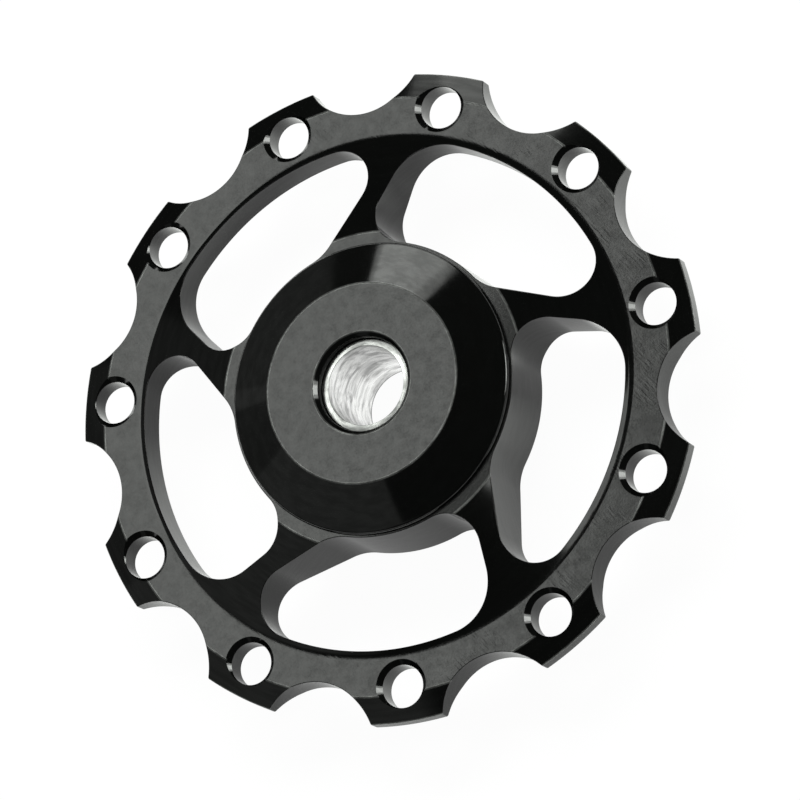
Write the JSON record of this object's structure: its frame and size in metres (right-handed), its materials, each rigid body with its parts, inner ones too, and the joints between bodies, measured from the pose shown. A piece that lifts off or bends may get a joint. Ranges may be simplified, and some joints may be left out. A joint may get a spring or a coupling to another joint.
{
  "type": "derailleur jockey wheel",
  "caption": "Black alloy jockey wheel for a rear derailleur, with skewed spokes, drilled teeth, a sealed ball bearing, an axle sleeve and two conical caps.",
  "frame": {"origin": "middle of the axle bore, on the wheel's mid-plane", "axes": "+Z along the axle out of the front cap, so the wheel lies flat on its rear cap; +X through the middle of a tooth and its hole"},
  "size_m": [0.0417, 0.042, 0.0082],
  "materials": {
    "anodised_wheel": "black anodised, semi-gloss",
    "anodised_cap": "black anodised, turned",
    "sleeve_alloy": "bright, turned",
    "ring_steel": "ground",
    "ball_steel": "polished",
    "cage_steel": "pressed",
    "seal_rubber": "satin"
  },
  "bodies": {
    "axle": {"sleeve": "sleeve_alloy", "front_cap": "anodised_cap", "rear_cap": "anodised_cap", "bearing_inner_ring": "ring_steel"},
    "wheel": {"wheel": "anodised_wheel", "bearing_outer_ring": "ring_steel", "front_seal": "seal_rubber", "rear_seal": "seal_rubber"},
    "cage": {"cage_front_half": "cage_steel", "cage_rear_half": "cage_steel", "cage_rivet_1": "cage_steel", "cage_rivet_2": "cage_steel", "cage_rivet_3": "cage_steel", "cage_rivet_4": "cage_steel", "cage_rivet_5": "cage_steel", "cage_rivet_6": "cage_steel", "cage_rivet_7": "cage_steel", "ball_1": "ball_steel", "ball_2": "ball_steel", "ball_3": "ball_steel", "ball_4": "ball_steel", "ball_5": "ball_steel", "ball_6": "ball_steel", "ball_7": "ball_steel"}
  },
  "joints": [
    {"name": "wheel_spin", "type": "hinge", "parent": "axle", "child": "wheel", "pos_m": [0, 0, 0], "axis": [0, 0, 1], "continuous": true},
    {"name": "cage_spin", "type": "hinge", "parent": "axle", "child": "cage", "pos_m": [0, 0, 0], "axis": [0, 0, 1], "continuous": true}
  ],
  "couplings": [
    {"joint": "cage_spin", "follows": "wheel_spin", "ratio": 0.6134}
  ]
}
